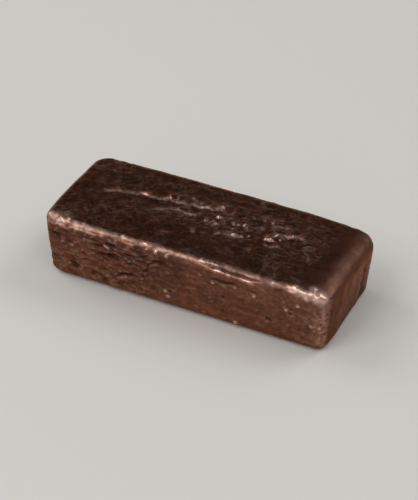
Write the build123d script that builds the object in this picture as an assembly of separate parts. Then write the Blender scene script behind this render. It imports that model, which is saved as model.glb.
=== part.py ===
"""A cast copper ingot: one solid bar, as it leaves an open mould.

The bar lies on the face that the mould's floor made. Its walls lean outwards with the mould's
draft, so it is widest near the top. The top is the free surface of the melt: it is arched across
the bar, its crest line falls gently to both ends, and at the +X end it rolls down to the wall.

Millimetres and degrees. X runs along the bar, Z is up, and the origin is in the middle of the
underside.
"""
import os
from math import radians, sqrt, tan

from build123d import *

# Driving dimensions
mouth_length = 113.0     # length between the end walls, at the height of the crest
mouth_width = 46.5       # width between the long walls, at the height of the crest
height = 27.0            # underside to the crest of the top
draft = 4.5              # lean of each mould wall away from upright
upright_corner = 4.5     # plan radius of the four upright corners, at the underside
floor_edge = 3.8         # radius between the walls and the underside
rim_edge = 3.2           # radius between the walls and the top
arch_rise = 1.1          # how far the crest line lies above the long edges of the top
near_end_fall = 0.6      # how far the crest line drops to the -X end
far_end_fall = 1.4       # how far the crest line drops to the +X end, before its roll
fall_power = 3           # 2 is an even bend along the bar, more keeps the fall near the ends
roll_length = 11.0       # stretch at the +X end over which the top rolls down to the wall
roll_drop = 3.2          # how much lower the crest line gets over that roll
roll_power = 2.4         # 2 is a parabola, more keeps the drop near the wall


def mould_cavity(spare):
    """The block that fills the mould, carried up past the crest by a spare height."""
    inset = height * tan(radians(draft))
    floor_outline = RectangleRounded(
        mouth_length - 2 * inset, mouth_width - 2 * inset, upright_corner
    )
    return extrude(floor_outline, amount=height + spare, taper=-draft)


def crest_height(x):
    """Height of the crest line at a place along the bar."""
    share = 2 * x / mouth_length
    fall = far_end_fall if share > 0 else near_end_fall
    roll_share = max(0, 1 - (mouth_length / 2 - x) / roll_length)
    return height - fall * abs(share) ** fall_power - roll_drop * roll_share**roll_power


def melt_slice(x, half_width, below):
    """An upright slice of the melt: flat sides and bottom, and an arch on top."""
    arch_radius = (mouth_width / 2) ** 2 / (2 * arch_rise) + arch_rise / 2
    crest = crest_height(x)
    shoulder = crest - arch_radius + sqrt(arch_radius**2 - half_width**2)
    arch = ThreePointArc((-half_width, shoulder), (0, crest), (half_width, shoulder))
    sides = Polyline(
        (half_width, shoulder), (half_width, -below), (-half_width, -below), (-half_width, shoulder)
    )
    slice_plane = Plane(origin=(x, 0, 0), x_dir=(0, 1, 0), z_dir=(1, 0, 0))
    return slice_plane * make_face(arch + sides)


def melt_body(spare, slices=24):
    """The melt under its free surface, past the mould by a spare width all round."""
    reach = mouth_length / 2 + spare
    half_width = mouth_width / 2 + spare
    places = [reach * (2 * i / (slices - 1) - 1) for i in range(slices)]
    return loft([melt_slice(x, half_width, spare) for x in places])


def cast_ingot():
    """The mould's block up to the free surface of the melt, with its edges rounded."""
    spare = rim_edge
    bar = mould_cavity(spare) & melt_body(spare)
    free_top = bar.faces().sort_by(Axis.Z)[-1]
    bar = fillet(free_top.edges(), rim_edge)
    underside = bar.faces().sort_by(Axis.Z)[0]
    return fillet(underside.edges(), floor_edge)


os.makedirs("parts", exist_ok=True)
export_step(cast_ingot(), "parts/ingot.step")
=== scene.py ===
# %% [markdown]
# # A cast copper ingot
#
# This lesson dresses one small copper bar as it comes out of an open mould. The imported CAD part
# gives its true size and main form. Here it gets what casting leaves on the metal: a frozen,
# wrinkled top, cold laps and gas pits on the walls, and a skin of brown oxide that is rubbed
# bright on the crests. Light and shade are painted into that skin as well: highlights on the
# crests and the rim, a sheen on the top, reflections on the front wall and the roll, and shade in
# the hollows.
#
# The imported part has to be loaded first, because everything after it is placed from its size.

# %% Load the imported ingot
import math

import bpy
import numpy as np
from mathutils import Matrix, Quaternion, Vector, noise


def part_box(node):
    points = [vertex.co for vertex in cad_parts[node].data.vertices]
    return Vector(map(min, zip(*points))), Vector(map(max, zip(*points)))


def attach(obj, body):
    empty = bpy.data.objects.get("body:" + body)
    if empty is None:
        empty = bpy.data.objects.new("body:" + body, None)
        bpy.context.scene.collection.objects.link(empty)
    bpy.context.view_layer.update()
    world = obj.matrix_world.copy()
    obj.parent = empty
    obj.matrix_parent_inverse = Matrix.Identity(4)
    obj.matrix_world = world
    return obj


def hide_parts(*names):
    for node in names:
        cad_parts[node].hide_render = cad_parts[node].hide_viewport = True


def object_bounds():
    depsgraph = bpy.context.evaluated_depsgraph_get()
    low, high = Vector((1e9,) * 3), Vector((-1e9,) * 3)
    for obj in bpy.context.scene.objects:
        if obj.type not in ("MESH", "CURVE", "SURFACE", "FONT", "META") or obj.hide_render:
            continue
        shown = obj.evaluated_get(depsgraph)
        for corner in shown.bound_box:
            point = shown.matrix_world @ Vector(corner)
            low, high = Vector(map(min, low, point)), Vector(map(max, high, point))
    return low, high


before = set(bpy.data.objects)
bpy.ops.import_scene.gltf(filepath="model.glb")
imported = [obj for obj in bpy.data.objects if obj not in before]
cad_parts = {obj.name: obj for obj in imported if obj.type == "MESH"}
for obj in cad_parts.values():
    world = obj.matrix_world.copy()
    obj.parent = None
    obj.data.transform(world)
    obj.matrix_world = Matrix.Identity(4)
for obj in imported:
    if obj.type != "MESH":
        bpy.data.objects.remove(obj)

cad_low, cad_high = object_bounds()
cast_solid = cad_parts["ingot"]
MM = 0.001
print("The bar measures", [round(side / MM, 1) for side in cad_high - cad_low], "mm.")

# %% [markdown]
# ## A block with even squares
#
# The bar is one casting, so it is one mesh. Fine relief needs small faces of even size, and the
# CAD mesh has long thin triangles. The usual answer is to build a new surface of squares round
# the old one, as an artist does after a scan. A grid the size of the underside is pulled up in
# layers, and each layer is a little larger than the last, because the mould's walls lean outwards.

# %% Pull a grid up into a leaning block
GRID_X, GRID_Y, LAYERS = 16, 6, 4
WALL_LEAN = math.tan(math.radians(4.5))
low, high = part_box("ingot")
size = high - low
floor_x = size.x - 2 * size.z * WALL_LEAN
floor_y = size.y - 2 * size.z * WALL_LEAN
layer = size.z / LAYERS

bpy.ops.object.select_all(action="DESELECT")
bpy.ops.mesh.primitive_grid_add(
    x_subdivisions=GRID_X, y_subdivisions=GRID_Y, size=1, location=(0, 0, 0)
)
ingot = bpy.context.object
ingot.name = "cast_ingot"
bpy.ops.object.mode_set(mode="EDIT")
bpy.ops.mesh.select_all(action="SELECT")
bpy.ops.transform.resize(value=(floor_x, floor_y, 1), center_override=(0, 0, 0))
for step in range(LAYERS):
    spread_before = 2 * step * layer * WALL_LEAN
    spread_after = 2 * (step + 1) * layer * WALL_LEAN
    wider_x = (floor_x + spread_after) / (floor_x + spread_before)
    wider_y = (floor_y + spread_after) / (floor_y + spread_before)
    bpy.ops.mesh.extrude_region_move(TRANSFORM_OT_translate={"value": (0, 0, layer)})
    bpy.ops.transform.resize(value=(wider_x, wider_y, 1), center_override=(0, 0, (step + 1) * layer))
bpy.ops.mesh.select_all(action="SELECT")
bpy.ops.mesh.normals_make_consistent(inside=False)
bpy.ops.object.mode_set(mode="OBJECT")
print("The block has", len(ingot.data.polygons), "faces.")

# %% [markdown]
# ## The block takes the ingot's form
#
# Each face is split until the squares are under half a millimetre, still on flat walls. A
# Shrinkwrap modifier then pulls every point onto the CAD solid, so the corners, the rounded rim
# and the crowned top are the real ones, and a little smoothing evens out the solid's facets.

# %% Split it and wrap it onto the solid
SPLITS = 4
SMOOTHING, SMOOTHING_ROUNDS = 0.5, 6


def apply_modifier(piece, kind, **settings):
    """Adds a modifier, sets it and applies it, as the Modifiers tab does."""
    modifier = piece.modifiers.new(kind.title(), kind)
    for setting, value in settings.items():
        setattr(modifier, setting, value)
    bpy.context.view_layer.objects.active = piece
    bpy.ops.object.modifier_apply(modifier=modifier.name)


apply_modifier(ingot, "SUBSURF", subdivision_type="SIMPLE", levels=SPLITS, render_levels=SPLITS)
apply_modifier(ingot, "SHRINKWRAP", target=cast_solid, wrap_method="NEAREST_SURFACEPOINT")
apply_modifier(ingot, "SMOOTH", factor=SMOOTHING, iterations=SMOOTHING_ROUNDS)
print("The surface has", len(ingot.data.polygons), "faces.")

# %% [markdown]
# ## Reading and moving the surface
#
# The relief is sculpted. A sculpting brush needs a window, so each stroke is worked out here:
# every point of the surface gets a height in millimetres, and at the end all points move along
# their normals by it. Strokes add up, and each one is shown only where the real metal has it.
# Beside the height, every point keeps how deep it lies in a hollow and how far it stands up as a
# crest. The hollows get soot and painted shade, and the crests get rubbed bare metal and painted
# highlights.

# %% Points and normals
points = np.empty(len(ingot.data.vertices) * 3)
ingot.data.vertices.foreach_get("co", points)
points = points.reshape(-1, 3) / MM
normals = np.empty(len(ingot.data.vertices) * 3)
ingot.data.vertices.foreach_get("normal", normals)
normals = normals.reshape(-1, 3)
x, y, z = points.T
endward, frontward, upward = normals[:, 0], -normals[:, 1], normals[:, 2]
relief, hollow, crest = np.zeros((3, len(points)))
print("Sculpting", len(points), "points.")


# %% Three ways to shape a stroke
def ramp(value, start, end):
    """0 before start, 1 after end, and a smooth rise between them."""
    share = np.clip((value - start) / (end - start), 0, 1)
    return share * share * (3 - 2 * share)


def bell(distance, width):
    """1 on a line, falling off softly to each side of it."""
    return np.exp(-((distance / width) ** 2))


def mottle(spots, wavelength, seed, octaves=2):
    """Soft noise, about -1 to 1, whose waves have that length in millimetres along each axis."""
    shift = Vector((7.3 * seed, 3.1 * seed, 5.9 * seed))
    waves = spots / np.array(wavelength, float)
    return np.array([noise.fractal(Vector(w) + shift, 1.0, 2.0, octaves) for w in waves])


# %% Where each side of the bar is, from 0 to 1
on_top = ramp(upward, 0.80, 0.97)
on_rim = ramp(upward, 0.10, 0.45) * (1 - ramp(upward, 0.93, 0.995))
on_underside = ramp(-upward, 0.35, 0.8)
on_wall = (1 - ramp(upward, 0.15, 0.5)) * (1 - on_underside)
on_front = ramp(frontward, 0.6, 0.9)
on_far_end = ramp(endward, 0.6, 0.9)
front_facing = ramp(frontward, 0.3, 0.7)
back_facing = ramp(-frontward, 0.3, 0.7)
print("Of the points,", round(100 * on_top.mean()), "percent are on the top.")

# %% [markdown]
# ## The swell of the casting
#
# Copper shrinks as it cools, and a hand-poured bar is never flat. Long, low waves make the
# straight edges wander a little, so that the light on them comes and goes.

# %% Long low waves
LONG_SWELL, SHORT_SWELL, RIM_SWELL = 0.22, 0.09, 0.16
relief += LONG_SWELL * mottle(points, (30, 22, 22), seed=1) * (1 - 0.7 * on_underside)
relief += SHORT_SWELL * mottle(points, (9, 7, 6), seed=2) * (1 - 0.5 * on_underside)
relief += RIM_SWELL * mottle(points, (8, 12, 12), seed=16) * on_rim
print("The swell reaches", round(np.abs(relief).max(), 2), "mm.")

# %% [markdown]
# ## Folds in the free top
#
# The top froze in the open air. Its skin set first and was drawn into folds while the metal
# under it sank: one long fold runs along the bar behind its middle, and towards +X it breaks up
# into a fan of short ones. Each fold is a path with a steep side towards -Y and a long soft back.
# The paths are bent by noise and their height comes and goes, which breaks them into glints. The
# steep fronts are also painted pale, a painted highlight.

# %% A brush that follows a path
FOLD_BACK = 1.5


def along_path(u, v, path):
    """Signed distance to a path, positive on its left, and the third value of its points there."""
    nearest = np.full(len(u), np.inf)
    signed = np.zeros(len(u))
    strength = np.zeros(len(u))
    for (start_u, start_v, first), (end_u, end_v, last) in zip(path, path[1:]):
        length = math.dist((start_u, start_v), (end_u, end_v))
        du, dv = (end_u - start_u) / length, (end_v - start_v) / length
        run = np.clip((u - start_u) * du + (v - start_v) * dv, 0, length)
        off_u, off_v = u - start_u - run * du, v - start_v - run * dv
        distance = np.hypot(off_u, off_v)
        nearer = distance < nearest
        side = np.where(du * off_v - dv * off_u >= 0, 1, -1)
        signed = np.where(nearer, side * distance, signed)
        strength = np.where(nearer, first + (last - first) * run / length, strength)
        nearest = np.where(nearer, distance, nearest)
    return signed, strength


def fold(u, v, path):
    """A fold, steep to the right of its path and soft to the left, and how near its front is."""
    distance, height = along_path(u, v, path)
    steepness = 0.40 + 0.36 * height
    soft_back = np.exp(-np.abs(distance) / FOLD_BACK)
    profile = np.where(distance < 0, bell(distance, steepness), soft_back)
    front = ramp(height, 0.05, 0.4) * bell(distance + 0.5 * steepness, 1.1 * steepness)
    return height * profile, front


# %% The two long folds: X and Y in millimetres, and the share of the full height there
LONG_FOLDS = [
    [
        (-46, 0.2, 0), (-42, 0.2, 0.3), (-40, 1.6, 0.5), (-37, 2.6, 0.5), (-35.2, 3.4, 0.8),
        (-33.4, 3.8, 0.35), (-31, 3.6, 0.45), (-29.6, 4.6, 1.0), (-27.4, 5.2, 1.0), (-25.4, 4.6, 0.4),
        (-22.5, 4.6, 0.35), (-20.2, 5.4, 0.6), (-19, 6.3, 1.15), (-17.6, 5.8, 0.3), (-15.5, 5.6, 0.5),
        (-12.8, 6.3, 0.6), (-11.2, 5.6, 0.25), (-9.4, 6.8, 0.6), (-7, 6.2, 0.35), (-3.6, 7.2, 0.7),
        (-2, 6.8, 0.6), (-0.4, 8.2, 1.1), (1, 8.8, 1.2), (2.2, 7.6, 0.5), (4, 6.2, 0.2), (6, 6, 0),
    ],
    [
        (-23.5, -4.2, 0), (-22, -3.2, 0.25), (-19.6, -1.6, 0.4), (-17.8, -0.4, 0.35), (-16.6, 0.9, 0.3),
        (-14, 0.9, 0.4), (-12.4, 1.5, 0.5), (-10.8, 0.6, 0.45), (-9.4, 0.2, 0.3), (-7.6, 0.8, 0.45),
        (-6.2, 1.2, 0.4), (-4.5, 0.4, 0),
    ],
]
print("The long folds have", [len(path) for path in LONG_FOLDS], "points.")

# %% The short folds, beside the long ones and in the fan
SHORT_FOLDS = [
    [(-17.4, 9.6, 0), (-16.2, 8.6, 0.35), (-15.8, 6.8, 0.35), (-15, 6, 0)],
    [
        (-13, 10.2, 0), (-11.4, 10.7, 0.3), (-9.6, 9.4, 0.35), (-8.4, 8.4, 0.5), (-6.6, 8.6, 0.3),
        (-4.8, 9, 0),
    ],
    [(-2.2, -0.8, 0), (-1.1, -0.4, 0.6), (0, -0.8, 0)],
    [(0.6, 3, 0), (2.4, 3.7, 0.55), (4.6, 4, 0.5), (6.4, 4.7, 0.35), (7.4, 4.2, 0)],
    [(7.4, 2.2, 0), (8.7, 2.8, 0.9), (9.8, 2.2, 0.3), (10.7, 2.6, 0.5), (11.8, 2.2, 0)],
    [(12, 4.4, 0), (12.9, 3.2, 0.5), (14.8, 1.2, 0.4), (15.6, -0.4, 0)],
    [(12.8, 7, 0), (13.8, 8.3, 0.3), (14.4, 9.6, 0)],
    [(16.6, 8.6, 0), (17.7, 9.2, 0.55), (19, 8.4, 0)],
    [(17.6, 5.2, 0), (18.4, 4.4, 0.5), (19.4, 2.8, 0.2), (20, 1.6, 0)],
    [(19.8, 9.8, 0), (21, 9.3, 0.3), (22.6, 7, 0.35), (24, 7.9, 0.3), (26.6, 8.1, 0.3), (28.4, 7.4, 0)],
    [
        (23.2, -0.6, 0.1), (24.2, 1, 0.3), (25, 3.8, 0.5), (26.9, 4.1, 0.6), (28.6, 3.7, 0.45),
        (30, 4.6, 0.7), (30.8, 5.6, 0.6), (32.4, 5.6, 0.45), (34.2, 5.3, 0.5), (35.4, 4.2, 0.2),
        (36.2, 2.8, 0.35), (37, 1.4, 0),
    ],
    [(22, -1.8, 0), (23.2, -1.4, 1.15), (24.6, -1.3, 1.1), (25.6, -1.8, 0.1)],
    [(21.4, -4.6, 0), (23, -4.2, 0.3), (25.4, -4.6, 0.25), (27.6, -3.4, 0.35), (28.8, -1.4, 0)],
    [
        (4, -7.4, 0), (5.2, -6.2, 0.4), (7, -5, 0.35), (9.4, -5, 0.3), (10.6, -4.3, 0.8),
        (11.8, -4.1, 1.1), (13, -4.6, 0.5), (14, -4.1, 0.8), (15.2, -4.2, 0.1),
    ],
    [(15.4, -3.6, 0), (16.2, -2.4, 0.35), (17, -0.8, 0)],
    [(1, -3, 0), (2.2, -2, 0.4), (3.2, -0.9, 0.8), (4.2, -1.2, 0.2), (5, -1, 0)],
    [(-3.6, -9, 0), (-2.5, -8.7, 0.5), (-1.4, -9, 0)],
    [(18.8, -9.8, 0), (19.8, -9.4, 0.4), (20.8, -9.6, 0)],
    [(36, -0.6, 0), (38, -1.9, 0.3), (40, -3, 0.25), (41.2, -6.2, 0.3), (42, -8, 0)],
    [(-41, -7, 0), (-39, -8, 0.22), (-36.6, -9.6, 0.22), (-35, -11, 0)],
]
print("There are", len(SHORT_FOLDS), "short folds.")

# %% Lay the folds into the top, with a painted highlight on their fronts
FOLD_HEIGHT, FOLD_FRONT_HIGHLIGHT = 1.12, 0.72
bent_x = x + 0.5 * mottle(points, (5, 4, 9), seed=3) + 0.35 * mottle(points, (1.9, 1.9, 4), seed=17)
bent_y = y + 0.4 * mottle(points, (4.5, 5, 9), seed=4) + 0.35 * mottle(points, (2.1, 1.9, 4), seed=18)
breaks = np.clip(1.0 + 0.6 * mottle(points, (2.6, 2.2, 5), seed=30), 0.6, 1.1)
folds, fronts = np.zeros((2, len(points)))
for path in LONG_FOLDS + SHORT_FOLDS:
    height, front = fold(bent_x, bent_y, path)
    folds = np.maximum(folds, height * breaks)
    fronts = np.maximum(fronts, front * np.minimum(breaks, 1))
relief += FOLD_HEIGHT * folds * on_top
# The fold fronts are painted pale, a painted highlight where the key lamp glints.
crest += FOLD_FRONT_HIGHLIGHT * fronts * on_top
print("The folds stand up to", round(FOLD_HEIGHT * folds.max(), 2), "mm high.")

# %% [markdown]
# ## Crinkles and flow marks of the skin
#
# Between the folds the skin is crinkled finely, most of all in the fan, and the middle of the top
# sank by most of a millimetre. Ridged noise, which is noise folded over at its zero line, gives
# sharp backs and round valleys; the valleys get soot and painted shade, and the backs painted
# highlights. The quiet end has faint curved flow marks instead: long thin noise, laid in a space
# that is itself bent. A fine leathery grain covers all of it, with soot and painted shade in its
# valleys. The grain and the flow marks stop along a wandering line before the +X end, where the
# skin rolls over smoothly.

# %% Crinkles of the fan, and the sunken middle
FAN_Y = 2.5
CRINKLE_HEIGHT, SUNKEN_DEPTH = 0.42, 0.8
fan = bell(y - FAN_Y, 9.5) * ramp(x, -24, 2) * (1 - ramp(x, 38, 48)) * on_top
skin_space = np.stack([bent_x, bent_y, z], 1)
ridged = 1 - np.abs(mottle(skin_space, (5.4, 2.8, 6), seed=6, octaves=3)) * 2.4
come_and_go = np.clip(0.8 + 1.0 * mottle(points, (5.5, 3, 6), seed=5), 0.15, 1.3)
sunken = bell(y - FAN_Y, 13) * ramp(x, -52, -30) * (1 - ramp(x, 40, 52)) * on_top
relief += CRINKLE_HEIGHT * ridged * fan * come_and_go
relief -= SUNKEN_DEPTH * sunken
# Soot and painted shade in the valleys of the crinkles, and painted highlights on their backs.
hollow += 0.8 * ramp(-ridged, -0.1, 0.5) * fan
crest += 0.5 * ramp(ridged, 0.5, 0.95) * fan * come_and_go
print("The fan covers", round(100 * fan.sum() / on_top.sum()), "percent of the top.")

# %% Flow marks and the leathery skin
FLOW_HEIGHT, LEATHER_HEIGHT = 0.10, 0.11
swirl = np.stack([
    x + 5 * mottle(points, (21, 17, 30), seed=19, octaves=1),
    y + 4.5 * mottle(points, (16, 20, 30), seed=20, octaves=1),
    z,
], 1)
flow_marks = mottle(swirl, (8, 2.3, 8), seed=21)
leathery = mottle(points, (2.7, 2.7, 3), seed=7, octaves=3)
roll_x = x + 3.5 * mottle(points, (15, 8, 14), seed=31)
before_roll = on_top * (1 - ramp(roll_x, 41, 50))
relief += FLOW_HEIGHT * flow_marks * before_roll * (1 - 0.6 * fan)
relief += LEATHER_HEIGHT * leathery * before_roll
# Soot and painted shade in the valleys of the leathery grain.
hollow += 0.6 * ramp(-leathery, 0.1, 0.5) * before_roll
print("The flow marks are", round(FLOW_HEIGHT * np.abs(flow_marks).max(), 2), "mm high.")

# %% [markdown]
# ## The rim
#
# Where the melt met the mould it froze as a rounded rim. It is crinkled near the corners of the
# long walls, which cool first. A pale line is painted along it where the key lamp's highlight
# falls, a painted highlight. The oxide on it is dull, which spreads the shine over the whole rim,
# and is painted paler and greyer, which tones that highlight. One short stretch near the -X end
# gets a broader, softer painted highlight, and looks like a soft pale band.

# %% Crinkles of the rim, and its painted highlight
RIM_CRINKLE, CORNER_CRINKLE = 0.05, 0.12
half_length = cad_high.x / MM
toward_corner = ramp(np.abs(x) / half_length, 0.62, 0.92)
along_wall = ramp(np.abs(frontward), 0.10, 0.34)
rim_crinkle = mottle(points, (2.2, 2.4, 2), seed=8)
crinkle_height = (RIM_CRINKLE + CORNER_CRINKLE * toward_corner) * (0.05 + 0.95 * along_wall)
relief += crinkle_height * rim_crinkle * on_rim

# A pale line painted where the key lamp's highlight falls on the rim: a painted highlight.
rim_highlight_line = bell(upward - 0.70, 0.27) * along_wall
rim_highlight_share = 0.36 + 0.2 * mottle(points, (6, 9, 5), seed=22) + 0.22 * rim_crinkle
soft_highlight_band = ramp(x, -46, -42) * (1 - ramp(x, -38, -33)) * on_rim * ramp(frontward, 0.1, 0.4)
crest += rim_highlight_line * np.clip(rim_highlight_share, 0.1, 1) * (1 - 0.3 * ramp(y, 10, 20)) + 0.3 * soft_highlight_band

# The dull skin is painted a paler, greyer tone, which tones the painted highlights on the rim and the fold
# fronts.
rim_oxide = np.clip(0.9 + 0.5 * mottle(points, (5, 9, 5), seed=28) + 0.4 * soft_highlight_band, 0, 1)
dull = 0.45 * fronts * on_top + rim_highlight_line * rim_oxide
print("The rim's crinkles are up to", round((crinkle_height * np.abs(rim_crinkle)).max(), 2), "mm high.")

# %% [markdown]
# At the two front corners the metal splashed as it was poured, and small beads of it froze on the
# rim. They catch more light than anything else on the bar, and they are also painted pale as a
# painted highlight, those at the +X corner most of all.
# Each bead is a round stroke, pressed onto the surface at the nearest point to its place.

# %% Beads at the front corners: X, Y and the radius in millimetres
BEAD_HEIGHT = 0.36
BEADS = {
    "right": [
        (40.6, -21.0, 1.0), (42.4, -20.6, 1.1), (44.6, -21.2, 1.3), (46.8, -21.6, 1.3), (48.4, -18.9, 1.4),
        (49.2, -20.9, 1.5), (51.2, -20.0, 1.6), (52.9, -20.8, 1.5), (51.0, -21.9, 1.2), (47.6, -22.6, 1.0),
    ],
    "left": [
        (-54.2, -19.6, 1.5), (-52.6, -21.2, 1.3), (-50.2, -19.6, 1.7), (-48.2, -21.0, 1.3),
        (-47.2, -18.6, 1.5), (-45.2, -19.8, 1.3), (-50.0, -22.2, 1.1), (-45.4, -21.8, 1.1),
    ],
}
# How pale the beads at each corner are painted: a painted highlight.
BEAD_HIGHLIGHT = {"right": 1.0, "left": 0.2}
OUT_OF_REACH = 1e3
splashed = (ramp(-x, 43, 47) + ramp(x, 37, 45)) * (1 - ramp(x, 53, 55))
splashed *= ramp(-y, 15.5, 18.5) * ramp(upward, 0.05, 0.3)
blobs = mottle(points, (3.0, 2.6, 2.4), seed=9)
worn_down = 0.3 * ramp(-y, 15.5, 23) * ramp(upward, 0.1, 0.6)
relief += splashed * (0.1 * blobs - worn_down)
# The splashed corners are painted pale in blobs along the rim: a painted highlight.
crest += splashed * rim_highlight_line * np.clip(0.1 + 0.6 * blobs, 0, 1)

facing_down = np.where(upward > 0.1, 0, OUT_OF_REACH)
for corner, beads in BEADS.items():
    for bead_x, bead_y, radius in beads:
        centre = points[(np.hypot(x - bead_x, y - bead_y) + facing_down).argmin()]
        bead = bell(np.linalg.norm(points - centre, axis=1) / radius, 0.9)
        relief += BEAD_HEIGHT * radius * bead
        crest += BEAD_HIGHLIGHT[corner] * bead
print("Placed", sum(len(beads) for beads in BEADS.values()), "beads.")

# %% [markdown]
# The +X end of the top rolls over in a long curve, smooth and evenly satin, with no crinkles. Its
# values are for the shader alone, because the CAD solid has the curve already. The shader paints
# the roll a darker, greyer colour, a painted reflection. The splashed corners are satin too, a
# little less, which spreads their painted highlight evenly.

# %% The smooth roll at the end
# The roll's mask also carries a darker, greyer colour, a painted reflection.
roll = ramp(roll_x, 44, 53) * (1 - ramp(frontward, 0.25, 0.5)) * ramp(upward, 0.0, 0.55)
dull = np.maximum(dull, 0.5 * np.maximum(roll, splashed))
satin = np.maximum(roll, 0.8 * splashed)
print("The roll begins at about x =", round(x[roll > 0.1].min(), 1), "mm.")

# %% [markdown]
# A second lip lies under part of the rim on each long wall, because the metal rose once more
# after its edge had set. It is a ridge with a groove above it, bent by noise. The groove gets soot
# and painted shade, and the ridge a painted highlight.


# %% Second lips
def second_lip(line, start, end, facing):
    """A ridge just under a line along a long wall, and the groove on the line, from 0 to 1."""
    bent_line = line + 0.35 * mottle(points, (7, 9, 9), seed=10)
    reach = ramp(x, start, start + 8) * (1 - ramp(x, end - 9, end)) * facing
    return reach * bell(z - bent_line + 1.15, 0.75), reach * bell(z - bent_line, 0.38)


LIP_HEIGHT, GROOVE_DEPTH = 0.45, 0.36
for ridge, groove in (
    second_lip(24.8 - 0.04 * (x - 14), 6, 34, front_facing),
    second_lip(23.2 + 0.03 * x, -44, 6, back_facing),
):
    relief += LIP_HEIGHT * ridge - GROOVE_DEPTH * groove
    # Soot and painted shade in the groove, and a painted highlight on the ridge.
    hollow += 0.9 * groove
    crest += 0.9 * ridge * np.clip(0.7 + 1.8 * rim_crinkle, 0.1, 1)
print("The lips stand", LIP_HEIGHT, "mm out, over a groove of", GROOVE_DEPTH, "mm.")

# %% [markdown]
# ## Cold laps on the walls
#
# Copper chills as it touches the mould, so the wall sets in tongues that don't quite join: cold
# laps. Each is a fine crevice under a rounded lip; the crevice gets soot and painted shade, and the
# lip a painted highlight. On the long wall in front they are drawn one by one. On the others they
# are level lines of a bent field, which run side by side and never cross, and a mask of patches
# makes them start and stop.

# %% Laps drawn one by one on the -Y wall: X and Z in millimetres, and the depth's share there
FRONT_LAPS = [
    [
        (-54, 16.6, 0), (-50, 17.6, 0.3), (-46, 17.8, 0.3), (-43.4, 17.4, 0.6), (-41, 16.6, 0.3),
        (-38, 17.2, 0),
    ],
    [(-41, 20.9, 0), (-39, 21.8, 0.6), (-36, 21.4, 0.6), (-33, 21.5, 0.3), (-31, 21, 0)],
    [(-47, 22.6, 0), (-45.6, 21.6, 0.4), (-43.6, 21.8, 0)],
    [(-23, 20.4, 0), (-25, 20.6, 0.3), (-26.4, 21.3, 1), (-28, 21.6, 1.2), (-29.2, 21.9, 0.3)],
    [(-31, 22.2, 0), (-29.8, 21.6, 0.7), (-28, 20.4, 1.3), (-26.6, 19.2, 0.5), (-26, 18.6, 0)],
    [(-24.5, 18, 0), (-21, 18.6, 0.3), (-17, 19.6, 0.35), (-13, 21.4, 0.3), (-10, 22.6, 0)],
    [(-14.2, 14.8, 0), (-12.6, 17, 0.5), (-11, 19, 0.5), (-9.6, 20.6, 0)],
    [(-9, 16.6, 0), (-8.4, 18.6, 0.3), (-7.6, 20.6, 0)],
    [(-27, 7, 0), (-25.4, 7.9, 0.5), (-22.6, 9.4, 0.6), (-21, 10.4, 0)],
    [(-34.4, 5.2, 0), (-32.4, 6, 0.5), (-30.4, 6.2, 0)],
    [(-45, 10.6, 0), (-42.8, 11.8, 0.3), (-40, 11.2, 0)],
    [(-37, 16, 0), (-34.6, 16.6, 0.4), (-32, 15, 0.3), (-30, 13.6, 0.5), (-28.6, 13, 0)],
    [(-22.4, 14.8, 0), (-21.2, 15.2, 0.4), (-19.6, 15, 0)],
    [(-17, 11.6, 0), (-15, 13.6, 0.25), (-12, 16, 0.25), (-9, 17, 0)],
    [(10, 20.8, 0), (13, 19.6, 0.35), (17, 19.2, 0.35), (20.4, 20.6, 0.4), (22.4, 20.2, 0)],
    [(24.6, 19.6, 0), (26.4, 19.3, 0.3), (28.4, 19.2, 0.4), (30, 18.6, 0)],
    [(34.6, 23.4, 0), (37, 23.2, 0.3), (39.4, 23.4, 0)],
    [(5.4, 22.4, 0), (7, 21.6, 0.3), (8.6, 21.6, 0)],
]
LAP_LIP, LAP_DEPTH = 0.5, 0.6
wall_u = x + 0.6 * mottle(points, (5, 5, 4), seed=23)
wall_v = z + 0.4 * mottle(points, (4, 4, 3), seed=24)
for path in FRONT_LAPS:
    away, depth = along_path(wall_u, wall_v, path)
    depth = depth * on_front
    relief += LAP_LIP * depth * bell(away + 1.05, 0.65) - LAP_DEPTH * depth * bell(away, 0.5)
    # Soot and painted shade in the crevice, and a painted highlight on the lip.
    hollow += 2.2 * depth * bell(away - 0.15, 0.45)
    crest += 1.3 * depth * bell(away + 0.85, 0.5) * ramp(depth, 0.25, 1.0)
print("Drew", len(FRONT_LAPS), "laps on the front wall.")

# %% Laps as level lines on the other walls
LAP_SPACING = 4.6
LEVEL_LIP, LEVEL_DEPTH = 0.12, 0.22
lap_field = z / LAP_SPACING + 0.75 * mottle(points, (24, 20, 9), seed=11)
lap_field += 0.12 * mottle(points, (5, 5, 3), seed=12)
from_line = (lap_field % 1.0 - 0.5) * LAP_SPACING
patches = ramp(mottle(points, (17, 13, 6), seed=13), 0.0, 0.45)
laps = on_wall * patches * (1 - 0.85 * on_front) * (1 - 0.8 * on_far_end)
relief += laps * (LEVEL_LIP * bell(from_line + 1.0, 0.7) - LEVEL_DEPTH * bell(from_line, 0.42))
# Soot and painted shade in the level laps' crevices, and a painted highlight on their lips.
hollow += 0.45 * laps * bell(from_line, 0.42)
crest += 0.3 * laps * bell(from_line + 1.0, 0.5)
print("The level laps lie about", LAP_SPACING, "mm apart.")

# %% [markdown]
# ## Scales
#
# Between the laps the walls are covered with small scales, where drops of metal froze one over
# the other. They lie level, and they are coarser towards -X, where the metal was coldest. Their
# hollows get soot and painted shade, and their tops painted highlights. The upright corner at +X
# is painted lighter in spots.

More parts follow.
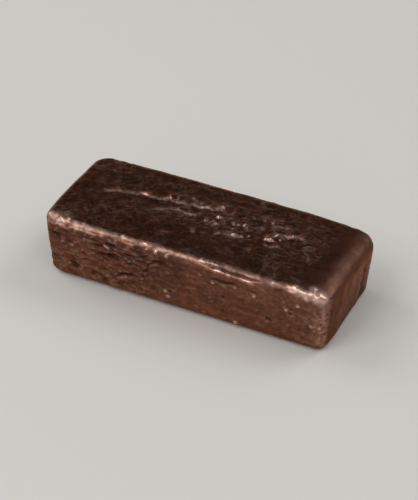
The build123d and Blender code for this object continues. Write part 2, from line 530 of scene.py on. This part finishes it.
# %% Scales on the walls
COARSE_HEIGHT, FINE_HEIGHT = 0.48, 0.09
scale_space = np.stack([wall_u, y, wall_v], 1)
coarse_scales = 1 - 2.4 * np.abs(mottle(scale_space, (7, 6, 3.2), seed=26))
fine_scales = mottle(scale_space, (2.4, 2.4, 1.8), seed=27)
scaly = on_wall * (1 - 0.75 * on_far_end)
coarse_share = 0.33 + (0.3 + 0.5 * front_facing) * (1 - ramp(x, -26, 4))
coarse_share *= 1 - 0.6 * ramp(-x, 50, 54) * ramp(frontward, 0.05, 0.3)
relief += scaly * (COARSE_HEIGHT * coarse_share * coarse_scales + FINE_HEIGHT * fine_scales)
# Soot and painted shade between the scales, and painted highlights on their tops.
hollow += 0.8 * scaly * coarse_share * ramp(-coarse_scales, -0.1, 0.8)
crest += 0.28 * scaly * coarse_share * ramp(coarse_scales, 0.7, 0.98)
crest += 0.26 * scaly * ramp(fine_scales, 0.3, 0.7)
# The upright corner at +X is painted lighter in spots.
lighter_corner = scaly * ramp(x, 42, 54) * ramp(frontward, 0.3, 0.6)
crest += lighter_corner * (0.08 + 0.2 * ramp(blobs, 0.05, 0.5))
print("The scales are up to", round(COARSE_HEIGHT * coarse_share.max(), 2), "mm high.")

# %% [markdown]
# ## Streaks on the end
#
# The +X end ran down the mould in streaks before it set. They are upright noise, drawn out
# along Z, and their light and dark colours follow the same field as their relief. The end is also
# painted lighter towards the long wall in front and darker low down away from it, a painted
# shade. The upright edge between this end and the long wall in front is painted lighter.

# %% Upright streaks, and painted shade on the end
STREAK_HEIGHT = 0.32
streaks = mottle(points, (7, 5.5, 20), seed=14, octaves=1)
relief += STREAK_HEIGHT * streaks * on_far_end * (1 - on_underside)
# Painted shade: darker in the streaks' valleys low on the end, away from the long wall in front.
shaded_low_end = on_far_end * (1 - ramp(z, 17, 25)) * ramp(y, -17, -9)
hollow += 0.3 * ramp(-streaks, -0.05, 0.5) * shaded_low_end
# The upright edge by the long wall in front is painted lighter.
near_edge = bell(endward - 0.7, 0.3) * ramp(frontward, 0.2, 0.5) * on_wall
crest += 0.3 * near_edge
# The end's colour: light and dark streaks, lighter towards the long wall in front, a painted shade.
streak_and_shade_paint = 0.5 + 1.3 * streaks + 0.5 * ramp(-y, 8, 16)
streak_and_shade_paint += 0.45 * mottle(points, (3.4, 2.8, 7), seed=29)
print("The streaks are up to", round(STREAK_HEIGHT * np.abs(streaks).max(), 2), "mm high.")

# %% [markdown]
# ## Gas pits and nubs
#
# Gas leaves small round pits with a slight lip, and spatter leaves small nubs. The pits get soot
# and painted shade, and their lips and the nubs painted highlights. The ones on the long wall in
# front are placed one by one, and seeded chance scatters more pits over the walls and the
# underside. Chance draws the numbers of points, and Blender's extrude numbers them anew in each
# run. So the sizes of the scattered pits are the same each time, but their places are not.


# %% A round pit
def pit(centre, radius, depth):
    """A round pit: its height, how deep each point lies in it, and its lip, both from 0 to 1."""
    distance = np.linalg.norm(points - centre, axis=1) / radius
    inside = bell(distance, 0.75)
    lip = bell(distance - 1.3, 0.35)
    return depth * (0.07 * lip - inside), inside, lip


def wall_point(at_x, at_z):
    """The point of the -Y wall that is nearest to a place along it and a height."""
    away = np.hypot(x - at_x, z - at_z) + np.where(frontward > 0.5, 0, OUT_OF_REACH)
    return points[away.argmin()]


# %% Place the pits: X, Z, the radius and the depth in millimetres
PLACED_PITS = [
    (16.1, 12.7, 0.9, 0.5), (33.2, 9.0, 1.2, 0.8), (41.8, 16.3, 0.7, 0.6), (40.5, 17.1, 0.6, 0.4),
    (41.9, 14.1, 0.7, 0.5), (0.4, 12.7, 0.9, 0.3), (52.9, 12.8, 0.7, 0.4), (53.3, 6.8, 0.7, 0.4),
    (-5.0, 8.2, 0.9, 0.5), (-28.6, 17.2, 0.6, 0.3), (43.6, 11.4, 0.5, 0.3), (-20.9, 15.1, 0.6, 0.3),
    (12.6, 1.6, 0.7, 0.3), (38.0, 10.6, 0.5, 0.25), (-43.8, 9.6, 0.7, 0.3), (24.2, 12.0, 0.5, 0.2),
]
RANDOM_PITS, SEED = 80, 7
SMALLEST, LARGEST = 0.45, 0.9
SHALLOWEST, DEEPEST = 0.1, 0.45
chance = np.random.default_rng(SEED)
pits = [(wall_point(at_x, at_z), radius, depth) for at_x, at_z, radius, depth in PLACED_PITS]
pittable = np.flatnonzero((upward < 0.2) & (frontward < 0.5))
for index in chance.choice(pittable, RANDOM_PITS, replace=False):
    radius = chance.uniform(SMALLEST, LARGEST)
    pits.append((points[index], radius, chance.uniform(SHALLOWEST, DEEPEST)))
for centre, radius, depth in pits:
    height, inside, lip = pit(centre, radius, depth)
    relief += height
    # Soot and painted shade in the pit, and a painted highlight on its lip.
    hollow += inside * ramp(depth, 0.1, 0.5)
    crest += 0.08 * lip * ramp(depth, 0.2, 0.5)
print("Placed", len(pits), "pits.")

# %% Place the nubs: X, Z, the radius and the height's share
NUB_HEIGHT, NUB_HIGHLIGHT = 1.5, 1.6
NUBS = [
    (-23.3, 26.3, 1.0, 0.15), (-15, 25.8, 0.9, 0.15), (-10, 24.2, 0.8, 0.25), (-5.6, 24, 0.7, 0.25),
    (7.6, 25.8, 1.0, 0.15), (11.7, 26.2, 0.9, 0.15), (34.5, 25, 1.1, 0.2), (12.2, 18.2, 0.8, 0.45),
    (28, 17.8, 0.8, 0.45), (44.5, 19.1, 0.8, 0.45), (40.1, 15.5, 0.8, 0.45), (49.6, 11.3, 0.8, 0.45),
    (53, 16, 0.8, 0.4), (52.6, 10.8, 0.7, 0.4), (20.8, 2.9, 0.9, 0.5), (-6.4, 7.6, 0.8, 0.4),
    (-5.5, 5.5, 0.9, 0.45), (20.9, 19, 0.6, 0.3), (7.4, 20.2, 0.7, 0.3),
]
for at_x, at_z, radius, height in NUBS:
    nub = bell(np.linalg.norm(points - wall_point(at_x, at_z), axis=1) / radius, 0.75)
    relief += NUB_HEIGHT * height * nub
    # The nub is painted pale, a painted highlight.
    crest += NUB_HIGHLIGHT * nub
print("Placed", len(NUBS), "nubs.")

# %% [markdown]
# ## Moving the points
#
# The heights are added along the normals. The underside may only be hollowed, never raised, so
# that the bar still lies flat on z = 0. Twelve values then stay on the mesh for the shader, each
# from 0 to 1: hollows, for soot and painted shade, crests, for rubbed metal and painted
# highlights, the places of each kind of skin and of the painted sheen, reflections and shade, and
# where it is dull or satin.

# %% Move the points
EDGE_RISE = 0.1
held_down = np.minimum(relief, EDGE_RISE * (1 - on_underside))
relief = np.where(on_underside > 0, held_down, relief)
moved = points + normals * relief[:, None]
moved[:, 2] = np.maximum(moved[:, 2], 0)
ingot.data.vertices.foreach_set("co", (moved * MM).ravel())
print("The relief runs from", round(relief.min(), 2), "to", round(relief.max(), 2), "mm.")

# %% Leave the values for the shader on the mesh
lined_wall = 0.35 + 0.65 * front_facing * (1 - ramp(x, -26, 6))
# A painted reflection: the front wall is painted lighter and warmer towards +X and low down.
wall_light_share = np.maximum(0.85 * ramp(x, -20, 25), 1.2 * ramp(-z, -14, -2))
for_shader = {
    "hollow": hollow,
    "crest": crest,
    "free_skin": on_top,
    "sheen_paint": before_roll,
    "red_skin": fan,
    "lined": on_wall * lined_wall * (1 - on_far_end) + 0.8 * before_roll,
    "end_wall": on_far_end * ramp(-upward, -0.5, 0.0),
    "streaks": streak_and_shade_paint,
    "dull": dull,
    "satin": satin,
    "wall_light_paint": on_wall * front_facing * wall_light_share,
    "roll": roll,
}
for name, values in for_shader.items():
    attribute = ingot.data.attributes.new(name, "FLOAT", "POINT")
    attribute.data.foreach_set("value", np.clip(values, 0, 1))
ingot.data.update()
bpy.ops.object.select_all(action="DESELECT")
ingot.select_set(True)
bpy.context.view_layer.objects.active = ingot
bpy.ops.object.shade_smooth()
print("The mesh carries", len(for_shader), "values for the shader.")

# %% [markdown]
# ## Colours and nodes
#
# Colours are written as the hex values a picture editor shows, and one function turns them into
# the linear light that the shader works in. One small function adds a node: what is given to a
# socket is either a plain value or the output of another node, which is then linked.


# %% Helpers for materials
def colour(text):
    """A hex colour as linear red, green, blue and alpha."""
    parts = [int(text[i:i + 2], 16) / 255 for i in (1, 3, 5)]
    return [c / 12.92 if c <= 0.04045 else ((c + 0.055) / 1.055) ** 2.4 for c in parts] + [1.0]


def add_node(tree, kind, inputs=None, **settings):
    """A new node with its settings. Each input, by name or number, gets a value or a link."""
    node = tree.nodes.new(kind)
    for setting, value in settings.items():
        setattr(node, setting, value)
    for socket, value in (inputs or {}).items():
        if isinstance(value, bpy.types.NodeSocket):
            tree.links.new(value, node.inputs[socket])
        else:
            node.inputs[socket].default_value = value
    return node


def new_material(name):
    """An empty node material and its node tree."""
    material = bpy.data.materials.new(name)
    material.use_nodes = True
    material.node_tree.nodes.clear()
    return material, material.node_tree


def per_mm(wavelength):
    """The texture scale that repeats about once in that many millimetres."""
    return 1 / (wavelength * MM)


# %% [markdown]
# ## Cast copper
#
# Copper with a thin skin of oxide, left by slow cooling in air. The eye sees a brown metal with a
# satin sheen, nearly black where it mirrors a dark room, and redder in the fan. Light and shade
# are painted into the colour as well: a pale sheen and darker paint as shade on the top, a
# lighter, warmer reflection low on the front wall and towards +X, a greyer reflection on the roll,
# pinkish highlights on the crests and the rim, where some crests are rubbed bare too, and black
# shade and soot in the pits. The colour is the metal's own, so metallic is 1 and the IOR stays at
# its default.
#
# One mottled brown would look like paint. The real skin grew at each place in its own way, and
# light and shade are painted over it, so its colour is laid on in coats. A coat has a colour and two
# shares that are multiplied, such as a value on the mesh and a noise.

# %% Colours, and the values that the modelling left on the mesh
# Some colours stand for light: the soot colour is also painted shade, the bare copper also painted
# highlight, the haze a painted sheen, the thin oxide and the roll's skin painted reflections, the rim's
# skin a tone for painted highlights, and the free skin partly painted shade.
OXIDE_DARK, OXIDE_BROWN, OXIDE_RED = colour("#523124"), colour("#7E4E3B"), colour("#7A4030")
FREE_SKIN_AND_SHADE, PAINTED_WALL_LIGHT, ROLL_REFLECTION = colour("#502F22"), colour("#A06A50"), colour("#4C352C")
DULL_HIGHLIGHT_TONE, FRESH_RED, PAINTED_SHEEN = colour("#6E5046"), colour("#66332A"), colour("#C9AEA2")
END_DARK, END_LIGHT = colour("#32180F"), colour("#7C4632")
BARE_COPPER_AND_HIGHLIGHT, EDGE_TINT, SOOT_AND_SHADE = colour("#F0C8B6"), colour("#DDBCAC"), colour("#1A0F0B")

cast_copper, tree = new_material("cast_copper")
place = add_node(tree, "ShaderNodeTexCoord").outputs["Object"]
painted = {}
for name in for_shader:
    painted[name] = add_node(tree, "ShaderNodeAttribute", attribute_name=name).outputs["Fac"]
print("The shader reads", len(painted), "values.")

# %% [markdown]
# Every pattern is a noise whose largest spots have a real size: the mottling is 9 mm wide, and
# the grain 0.7 mm. Only a part of each noise counts, from one limit to another, and that part is
# spread over the range of values that the pattern needs.

# %% Noises: the width of the largest spots in millimetres, the detail and the distortion
NOISES = {
    "mottling": (9, 7, 0.6),
    "red patches": (19, 3, 1.2),
    "fan patches": (6, 3, 0.0),
    "speckle": (1.5, 4, 0.0),
    "sheen_paint": (2.6, 5, 1.2),
    "pale lines": (5.5, 2, 0.4),
    "where pale lines are": (17.05, 1, 0.0),
    "dark lines": (4.7, 2, 0.4),
    "where dark lines are": (14.57, 1, 0.0),
    "rubbing and glints": (1.6, 4, 0.0),
    "cloudiness": (6, 5, 0.0),
    "ripple": (2.6, 5, 0.6),
    "grain": (0.7, 4, 0.0),
}
noises = {}
for name, (wavelength, detail, distortion) in NOISES.items():
    noises[name] = add_node(tree, "ShaderNodeTexNoise", {
        "Vector": place, "Scale": per_mm(wavelength), "Detail": detail, "Distortion": distortion,
    }).outputs["Fac"]
print("Added", len(noises), "noises.")

# %% Spreads: the limits of the part that counts, and the values at these limits
SPREADS = {
    "mottling": (0.35, 0.65, 0, 1),
    "red patches": (0.55, 0.75, 0, 0.4),
    "fan patches": (0.42, 0.6, 0, 0.6),
    "speckle": (0.38, 0.62, 0, 1),
    "sheen_paint": (0.5, 0.68, 0, 0.16),
    "where pale lines are": (0.4, 0.6, 0, 0.25),
    "where dark lines are": (0.4, 0.6, 0, 0.6),
    "rubbing and glints": (0.32, 0.58, 0, 1),
    "cloudiness": (0.35, 0.65, 0.17, 0.36),
    "grain": (0.3, 0.7, -0.04, 0.04),
}
spread = {}
for name, (start, end, at_start, at_end) in SPREADS.items():
    spread[name] = add_node(tree, "ShaderNodeMapRange", {
        "Value": noises[name], "From Min": start, "From Max": end, "To Min": at_start, "To Max": at_end,
    }).outputs["Result"]
print("Spread", len(spread), "of them.")

# %% [markdown]
# The first coats are the oxide itself and painted light: brown and red patches, the darker skin of
# the free top, which is partly painted shade, a painted reflection low on the front wall and
# towards +X, the rim's paler tone under its painted highlight, a painted reflection on the roll,
# the torn skin of the fan, and the end's streaks with their painted shade, with a fine speckle and
# a painted sheen over them.

# %% Coats of oxide and of painted light
# The Mix node gives the same names to its sockets for every kind of data, so its two colours
# and its result go by number.
MIX_FIRST, MIX_SECOND, MIX_RESULT = 6, 7, 2
streaked_and_shaded_end = add_node(tree, "ShaderNodeMix", {
    "Factor": painted["streaks"], MIX_FIRST: END_DARK, MIX_SECOND: END_LIGHT,
}, data_type="RGBA").outputs[MIX_RESULT]
# Besides oxide, these coats paint light: shade on the free top and the end, reflections on the front wall
# and the roll, a tone for the rim's highlight, and a sheen on the top.
coats = [
    (spread["red patches"], 1.0, OXIDE_RED),
    (painted["free_skin"], 0.82, FREE_SKIN_AND_SHADE),
    (painted["wall_light_paint"], 0.36, PAINTED_WALL_LIGHT),
    (painted["dull"], 0.6, DULL_HIGHLIGHT_TONE),
    (painted["roll"], 0.75, ROLL_REFLECTION),
    (painted["red_skin"], spread["fan patches"], FRESH_RED),
    (painted["end_wall"], 0.85, streaked_and_shaded_end),
    (spread["speckle"], 0.42, OXIDE_DARK),
    (spread["sheen_paint"], painted["sheen_paint"], PAINTED_SHEEN),
]
print("The oxide has", len(coats), "coats.")

# %% [markdown]
# The skin is crazed with thin curved lines, pale ones on the top, in the painted sheen's colour,
# and dark ones on the top and the walls, in the colour of soot and painted shade. A noise passes its
# middle value along just such lines, so a line is where the noise is near 0.5. A broader noise
# makes them come and go in patches.

# %% Thin lines in the skin
LINE_WIDTH = 0.05
lines = {}
for tone in ("pale", "dark"):
    from_middle = add_node(
        tree, "ShaderNodeMath", {0: noises[tone + " lines"], 1: 0.5}, operation="SUBTRACT"
    ).outputs["Value"]
    away = add_node(tree, "ShaderNodeMath", {0: from_middle}, operation="ABSOLUTE").outputs["Value"]
    on_line = add_node(tree, "ShaderNodeMapRange", {
        "Value": away, "From Min": 0, "From Max": LINE_WIDTH, "To Min": 1, "To Max": 0,
    }).outputs["Result"]
    in_patches = add_node(
        tree, "ShaderNodeMath", {0: on_line, 1: spread[f"where {tone} lines are"]}, operation="MULTIPLY"
    ).outputs["Value"]
    lines[tone] = add_node(
        tree, "ShaderNodeMath", {0: in_patches, 1: painted["lined"]}, operation="MULTIPLY"
    ).outputs["Value"]
coats += [(lines["pale"], painted["sheen_paint"], PAINTED_SHEEN), (lines["dark"], 1.0, SOOT_AND_SHADE)]
print("With the lines there are", len(coats), "coats.")

# %% [markdown]
# The last coats are wear and painted light. A crest is painted pale in small spots, but evenly
# where the metal is satin, for rubbed bare metal and a painted highlight. Soot and painted shade go
# on last, because they stay in the hollows whatever is round them.

# %% Rubbed crests with painted highlights, soot with painted shade, and all coats laid over each other
rubbed_and_highlit_spots = add_node(
    tree, "ShaderNodeMath", {0: spread["rubbing and glints"], 1: painted["satin"]}, operation="MAXIMUM"
).outputs["Value"]
rubbed_and_highlit = add_node(
    tree, "ShaderNodeMath", {0: painted["crest"], 1: rubbed_and_highlit_spots}, operation="MULTIPLY"
).outputs["Value"]
bare_and_highlight_share = add_node(
    tree, "ShaderNodeMath", {0: painted["satin"], 1: 0.2, 2: 0.62}, operation="MULTIPLY_ADD"
).outputs["Value"]
# Pale crests are rubbed metal and painted highlight; dark hollows are soot and painted shade.
coats += [(rubbed_and_highlit, bare_and_highlight_share, BARE_COPPER_AND_HIGHLIGHT), (painted["hollow"], 0.8, SOOT_AND_SHADE)]

skin = add_node(tree, "ShaderNodeMix", {
    "Factor": spread["mottling"], MIX_FIRST: OXIDE_DARK, MIX_SECOND: OXIDE_BROWN,
}, data_type="RGBA").outputs[MIX_RESULT]
for where, share, tint in coats:
    amount = add_node(tree, "ShaderNodeMath", {0: where, 1: share}, operation="MULTIPLY").outputs["Value"]
    skin = add_node(tree, "ShaderNodeMix", {
        "Factor": amount, MIX_FIRST: skin, MIX_SECOND: tint,
    }, data_type="RGBA").outputs[MIX_RESULT]
print("Laid", len(coats), "coats over the mottled brown.")

# %% [markdown]
# The sheen is cloudy, between 0.17 and 0.36 in roughness, rougher in the pits and on the dull
# oxide, and a little smoother on the crests that are rubbed bare and painted as highlights. What is
# finer than the mesh is bump: ripples of about a quarter of a millimetre, and the grain on them.
# The crests and the smooth roll flatten both.

# %% Roughness and fine bump
roughness = spread["cloudiness"]
for value, share in (
    (spread["grain"], 1.0), (painted["hollow"], 0.3), (painted["dull"], 0.24), (rubbed_and_highlit, -0.08),
):
    roughness = add_node(
        tree, "ShaderNodeMath", {0: value, 1: share, 2: roughness}, operation="MULTIPLY_ADD"
    ).outputs["Value"]

crest_share = add_node(
    tree, "ShaderNodeMath", {0: painted["crest"], 1: 0.7}, operation="MULTIPLY"
).outputs["Value"]
flattened = add_node(
    tree, "ShaderNodeMath", {0: painted["satin"], 1: crest_share}, operation="MAXIMUM"
).outputs["Value"]
bumpy = add_node(
    tree, "ShaderNodeMath", {0: flattened, 1: -0.9, 2: 1.0}, operation="MULTIPLY_ADD"
).outputs["Value"]
RIPPLE_MM, GRAIN_MM = 0.26, 0.06
below = {}
for name, strength, distance in (("ripple", 0.7, RIPPLE_MM), ("grain", 0.5, GRAIN_MM)):
    height = add_node(tree, "ShaderNodeMath", {0: noises[name], 1: bumpy}, operation="MULTIPLY")
    bump = add_node(tree, "ShaderNodeBump", {
        "Height": height.outputs["Value"], "Strength": strength, "Distance": distance * MM, **below,
    }).outputs["Normal"]
    below = {"Normal": bump}
print("The bump is at most", RIPPLE_MM + GRAIN_MM, "mm.")

# %% The metal itself, with a thin clear coat of oxide
surface = add_node(tree, "ShaderNodeBsdfPrincipled", {
    "Base Color": skin, "Roughness": roughness, "Normal": bump,
    "Metallic": 1.0, "Specular Tint": EDGE_TINT, "Coat Weight": 0.12, "Coat Roughness": 0.22,
})
add_node(tree, "ShaderNodeOutputMaterial", {"Surface": surface.outputs["BSDF"]})
ingot.data.materials.clear()
ingot.data.materials.append(cast_copper)

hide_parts("ingot")
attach(ingot, "root")
print("Cast copper has", len(tree.nodes), "nodes.")

# %% [markdown]
# ## The studio
#
# A pale floor, four large soft lamps and a grey room. The key lamp stands in front and to the
# left, above the camera, and makes the long highlight on the rim. The other three are weaker on
# this side or light the sides that the camera doesn't see. Metal shows what it mirrors: the walls
# mirror the pale floor and look light, and the top mirrors a dark band of the room, so it looks
# nearly black. The room is bright at the horizon and grey overhead.

# %% The floor
FLOOR_SIDE = 8
bpy.ops.object.select_all(action="DESELECT")
bpy.ops.mesh.primitive_plane_add(size=FLOOR_SIDE, location=(0, 0, 0))
floor = bpy.context.object
floor.name = "floor"
pale_paint, floor_tree = new_material("pale_floor_paint")
matt = add_node(floor_tree, "ShaderNodeBsdfPrincipled", {"Base Color": colour("#D2CFCA"), "Roughness": 0.8})
add_node(floor_tree, "ShaderNodeOutputMaterial", {"Surface": matt.outputs["BSDF"]})
floor.data.materials.append(pale_paint)
print("The floor is", FLOOR_SIDE, "m wide.")


# %% The lamps: azimuth and height angle in degrees, distance and side in metres, and the power
def toward(azimuth, elevation, distance):
    """A place seen from the bar at a compass angle from -Y towards +X, and a height angle."""
    turn, rise = math.radians(azimuth), math.radians(elevation)
    across = Vector((math.sin(turn) * math.cos(rise), -math.cos(turn) * math.cos(rise), 0))
    return (across + Vector((0, 0, math.sin(rise)))) * distance


LAMPS = {
    "key_lamp": (-25, 47, 1.6, 0.9, 8.5),
    "side_lamp": (42, 55, 1.6, 0.8, 3.2),
    "back_lamp": (140, 45, 1.8, 0.9, 8),
    "left_lamp": (268, 42, 1.8, 0.9, 8),
}
for name, (azimuth, elevation, distance, side, power) in LAMPS.items():
    lamp = bpy.data.lights.new(name, "AREA")
    lamp.shape = "SQUARE"
    lamp.size = side
    lamp.energy = power
    holder = bpy.data.objects.new(name, lamp)
    holder.location = toward(azimuth, elevation, distance)
    holder.rotation_euler = holder.location.to_track_quat("Z", "Y").to_euler()
    bpy.context.collection.objects.link(holder)
print("Hung", len(LAMPS), "lamps.")

# %% The room: its brightness by height, from the horizon at 0 to straight up at 1
HORIZON, DARK_BAND, OVERHEAD = 0.9, 0.16, 0.36
BAND_START, BAND_END = 0.55, 0.62
room = bpy.data.worlds.new("room")
room.use_nodes = True
sky = room.node_tree
direction = add_node(sky, "ShaderNodeTexCoord").outputs["Generated"]
height = add_node(sky, "ShaderNodeSeparateXYZ", {"Vector": direction}).outputs["Z"]
low_part = add_node(sky, "ShaderNodeMapRange", {
    "Value": height, "From Min": 0.0, "From Max": BAND_START, "To Min": HORIZON, "To Max": DARK_BAND,
}).outputs["Result"]
high_part = add_node(sky, "ShaderNodeMapRange", {
    "Value": height, "From Min": BAND_END, "From Max": 1.0, "To Min": DARK_BAND, "To Max": OVERHEAD,
}).outputs["Result"]
brightness = add_node(sky, "ShaderNodeMath", {0: low_part, 1: high_part}, operation="MAXIMUM")
background = sky.nodes["Background"]
background.inputs["Color"].default_value = colour("#FFFFFF")
sky.links.new(brightness.outputs["Value"], background.inputs["Strength"])
bpy.context.scene.world = room
print("The room's strength runs from", DARK_BAND, "to", HORIZON, "by height.")

# %% [markdown]
# ## The camera
#
# It stands where the photograph's camera stood, worked out from the edges of the bar: 0.7 m away,
# 25 degrees to the right of the long wall and 36 degrees above it. A longer lens fills the picture
# with the one bar.

# %% The camera
CAMERA_AZIMUTH, CAMERA_ELEVATION, CAMERA_DISTANCE = 25.3, 36.2, 0.700
CAMERA_ROLL = math.radians(0.8)
LENS_MM, SENSOR_MM = 140, 36
middle = Vector((0, 0, size.z / 2))
camera_data = bpy.data.cameras.new("camera")
camera_data.lens = LENS_MM
camera_data.sensor_width = SENSOR_MM
camera = bpy.data.objects.new("camera", camera_data)
camera.location = middle + toward(CAMERA_AZIMUTH, CAMERA_ELEVATION, CAMERA_DISTANCE)
aim = (camera.location - middle).to_track_quat("Z", "Y") @ Quaternion((0, 0, 1), CAMERA_ROLL)
camera.rotation_euler = aim.to_euler()
bpy.context.collection.objects.link(camera)
bpy.context.scene.camera = camera
bpy.context.scene.view_settings.view_transform = "Standard"
print("The camera stands at", [round(value, 3) for value in camera.location], "m.")
